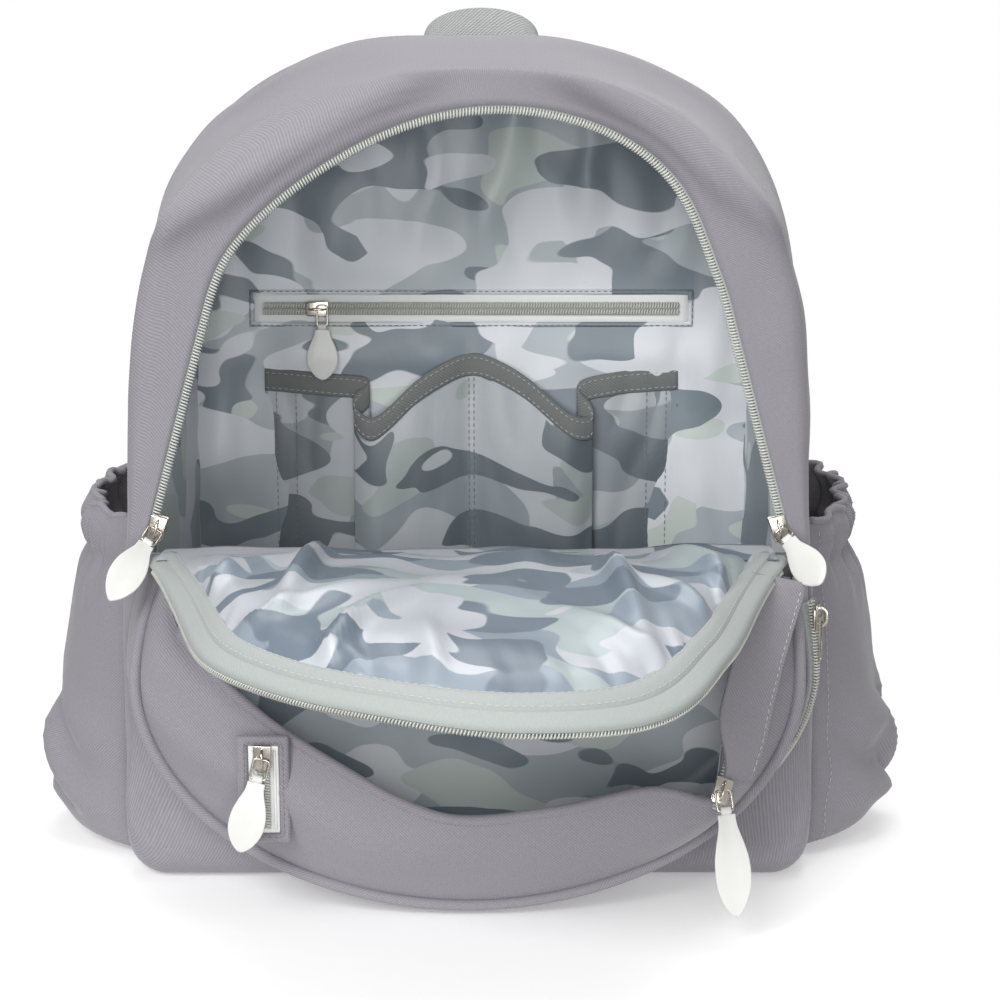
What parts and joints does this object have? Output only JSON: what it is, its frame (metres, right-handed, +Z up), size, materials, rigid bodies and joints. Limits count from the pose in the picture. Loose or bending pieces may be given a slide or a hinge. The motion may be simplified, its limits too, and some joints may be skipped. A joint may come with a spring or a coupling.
{
  "type": "diaper bag",
  "caption": "Soft backpack for baby things, standing open: arched zip flap folded forward, gaping front pocket, side pockets, slip pockets inside, grab loop and shoulder straps.",
  "frame": {"origin": "on the floor under the middle of the base, midway between the side seams", "axes": "+Z up, the front with its pockets faces -Y, +X to the right seen from the front"},
  "size_m": [0.3878, 0.3849, 0.3911],
  "materials": {
    "grey_canvas": "matt heathered canvas",
    "camo_lining": "satin lining with a soft camouflage print",
    "zip_tape": "woven tape",
    "zip_coil": "nylon coil",
    "white_pull": "smooth coated",
    "webbing": "smooth shiny webbing",
    "slider_metal": "nickel plated zinc",
    "board_plastic": "moulded",
    "foam": "open-cell padding",
    "elastic": "covered elastic"
  },
  "bodies": {
    "bag": {"front_wall": "grey_canvas", "side_panel_l": "grey_canvas", "side_panel_r": "grey_canvas", "top_band": "grey_canvas", "base_panel": "grey_canvas", "back_panel": "grey_canvas", "pocket_front": "grey_canvas", "pocket_gusset": "grey_canvas", "pocket_piping": "grey_canvas", "pocket_hem": "grey_canvas", "pocket_strip_r": "grey_canvas", "side_pocket_l": "grey_canvas", "side_pocket_r": "grey_canvas", "slip_pocket_hem": "grey_canvas", "lining_band": "camo_lining", "lining_back": "camo_lining", "pocket_lining": "camo_lining", "slip_pocket": "camo_lining", "back_foam": "foam", "base_board": "board_plastic", "arch_zip_tape": "zip_tape", "inner_zip_tape": "zip_tape", "pocket_zip_tape_l": "zip_tape", "side_zip_tape": "zip_tape", "arch_zip_coil": "zip_coil", "inner_zip_coil": "zip_coil", "pocket_zip_coil_l": "zip_coil", "pocket_zip_coil_r": "zip_coil", "side_zip_coil": "zip_coil", "side_elastic_l": "elastic", "side_elastic_r": "elastic", "strap_webbing_l": "webbing", "strap_webbing_r": "webbing"},
    "flap": {"flap_panel": "grey_canvas", "flap_lining": "camo_lining", "flap_binding": "zip_tape", "flap_tape": "zip_tape", "flap_coil": "zip_coil"},
    "main_slider_l": {"main_slider_l": "slider_metal"},
    "main_pull_l": {"main_pull_l_ring": "slider_metal", "main_pull_l_leaf": "white_pull"},
    "main_slider_r": {"main_slider_r": "slider_metal"},
    "main_pull_r": {"main_pull_r_ring": "slider_metal", "main_pull_r_leaf": "white_pull"},
    "inner_slider": {"inner_slider": "slider_metal"},
    "inner_pull": {"inner_pull_ring": "slider_metal", "inner_pull_leaf": "white_pull"},
    "pocket_slider_l": {"pocket_slider_l": "slider_metal"},
    "pocket_pull_l": {"pocket_pull_l_ring": "slider_metal", "pocket_pull_l_leaf": "white_pull"},
    "pocket_slider_r": {"pocket_slider_r": "slider_metal"},
    "pocket_pull_r": {"pocket_pull_r_ring": "slider_metal", "pocket_pull_r_leaf": "white_pull"},
    "side_slider": {"side_slider": "slider_metal"},
    "side_pull": {"side_pull": "slider_metal"},
    "handle": {"grab_handle": "webbing"},
    "strap_l": {"strap_pad_l": "grey_canvas", "ladder_lock_l": "board_plastic"},
    "strap_r": {"strap_pad_r": "grey_canvas", "ladder_lock_r": "board_plastic"}
  },
  "joints": [
    {"name": "flap_fold", "type": "hinge", "parent": "bag", "child": "flap", "pos_m": [0, -0.08, 0.146], "axis": [-1, 0, 0], "range_deg": [0, 98]},
    {"name": "main_zip_l", "type": "slide", "parent": "bag", "child": "main_slider_l", "axis": [0.2588, 0, 0.9659], "range_m": [0, 0.093]},
    {"name": "main_pull_swing_l", "type": "hinge", "parent": "main_slider_l", "child": "main_pull_l", "pos_m": [-0.13496, -0.08086, 0.15759], "axis": [-0.8387, 0, 0.5446], "range_deg": [-12, 120]},
    {"name": "main_zip_r", "type": "slide", "parent": "bag", "child": "main_slider_r", "axis": [-0.2588, 0, 0.9659], "range_m": [0, 0.093]},
    {"name": "main_pull_swing_r", "type": "hinge", "parent": "main_slider_r", "child": "main_pull_r", "pos_m": [0.13496, -0.08086, 0.15759], "axis": [-0.766, 0, -0.6428], "range_deg": [-38, 106]},
    {"name": "inner_zip", "type": "slide", "parent": "bag", "child": "inner_slider", "axis": [1, 0, 0], "range_m": [-0.019, 0.168]},
    {"name": "inner_pull_lift", "type": "hinge", "parent": "inner_slider", "child": "inner_pull", "pos_m": [-0.074, 0.05174, 0.2419], "axis": [-1, 0, 0], "range_deg": [0, 22]},
    {"name": "pocket_zip_l", "type": "slide", "parent": "bag", "child": "pocket_slider_l", "axis": [0, 0.0771, -0.997], "range_m": [0, 0.025]},
    {"name": "pocket_pull_swing_l", "type": "hinge", "parent": "pocket_slider_l", "child": "pocket_pull_l", "pos_m": [-0.0835, -0.15453, 0.07552], "axis": [-0.9703, -0.0187, 0.2412], "range_deg": [0, 150]},
    {"name": "pocket_zip_r", "type": "slide", "parent": "bag", "child": "pocket_slider_r", "axis": [0.2873, 0.4065, 0.8673], "range_m": [0, 0.0045]},
    {"name": "pocket_pull_swing_r", "type": "hinge", "parent": "pocket_slider_r", "child": "pocket_pull_r", "pos_m": [0.10512, -0.15622, 0.06288], "axis": [-0.9841, -0.1654, -0.0655], "range_deg": [0, 140]},
    {"name": "side_zip", "type": "slide", "parent": "bag", "child": "side_slider", "axis": [0, 0, -1], "range_m": [0, 0.011]},
    {"name": "side_pull_swing", "type": "hinge", "parent": "side_slider", "child": "side_pull", "pos_m": [0.15191, -0.09505, 0.122], "axis": [-0.2873, -0.9578, 0], "range_deg": [0, 150]},
    {"name": "handle_tip", "type": "hinge", "parent": "bag", "child": "handle", "pos_m": [0, 0.052, 0.37583], "axis": [1, 0, 0], "range_deg": [-32, 32], "stiffness_Nm_per_rad": 0.02},
    {"name": "strap_swing_l", "type": "hinge", "parent": "bag", "child": "strap_l", "pos_m": [-0.04, 0.0752, 0.35], "axis": [1, 0, 0], "range_deg": [0, 35]},
    {"name": "strap_swing_r", "type": "hinge", "parent": "bag", "child": "strap_r", "pos_m": [0.04, 0.0752, 0.35], "axis": [1, 0, 0], "range_deg": [0, 35]}
  ]
}
